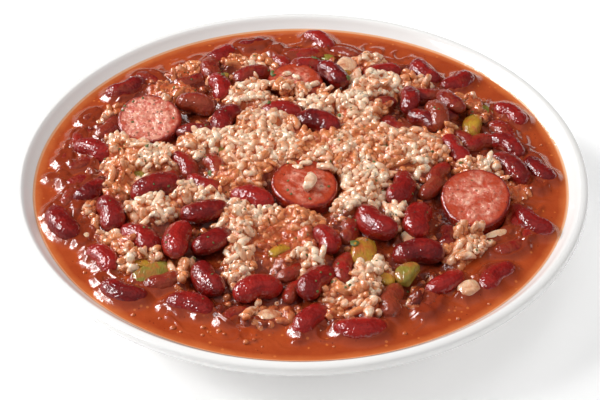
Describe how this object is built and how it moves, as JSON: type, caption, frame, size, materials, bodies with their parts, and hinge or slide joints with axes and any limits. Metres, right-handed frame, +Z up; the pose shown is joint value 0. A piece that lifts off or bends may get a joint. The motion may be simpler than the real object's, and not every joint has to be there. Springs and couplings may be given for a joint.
{
  "type": "red beans and rice",
  "caption": "Plated meal in a white coupe bowl: a low mound of rice with kidney beans, smoked sausage slices and diced peppers in gravy.",
  "frame": {"origin": "middle of the bowl's foot, on the surface that it stands on", "axes": "+Z up, +X to the right and +Y to the back as the meal is seen from the front"},
  "size_m": [0.23, 0.23, 0.0435],
  "materials": {
    "glaze": "smooth white glaze",
    "rice": "moist cooked rice, cream with orange sauce",
    "gravy": "wet red-brown gravy",
    "bean": "wet dark red bean skin",
    "sausage": "moist pink-brown cut face in a dark casing",
    "vegetable": "soft cooked pepper, onion and celery"
  },
  "bodies": {
    "root": {"bowl": "glaze", "rice": "rice", "gravy": "gravy", "bean_01": "bean", "bean_02": "bean", "bean_03": "bean", "bean_04": "bean", "bean_05": "bean", "bean_06": "bean", "bean_07": "bean", "bean_08": "bean", "bean_09": "bean", "bean_10": "bean", "bean_11": "bean", "bean_12": "bean", "bean_13": "bean", "bean_14": "bean", "bean_15": "bean", "bean_16": "bean", "bean_17": "bean", "bean_18": "bean", "bean_19": "bean", "bean_20": "bean", "bean_21": "bean", "bean_22": "bean", "bean_23": "bean", "bean_24": "bean", "bean_25": "bean", "bean_26": "bean", "bean_27": "bean", "bean_28": "bean", "bean_29": "bean", "bean_30": "bean", "bean_31": "bean", "bean_32": "bean", "bean_33": "bean", "bean_34": "bean", "bean_35": "bean", "bean_36": "bean", "bean_37": "bean", "bean_38": "bean", "bean_39": "bean", "bean_40": "bean", "bean_41": "bean", "bean_42": "bean", "bean_43": "bean", "bean_44": "bean", "bean_45": "bean", "bean_46": "bean", "bean_47": "bean", "bean_48": "bean", "sausage_1": "sausage", "sausage_2": "sausage", "sausage_3": "sausage", "sausage_4": "sausage", "onion_1": "vegetable", "pepper_1": "vegetable", "pepper_2": "vegetable", "pepper_3": "vegetable", "celery_1": "vegetable"}
  },
  "joints": []
}
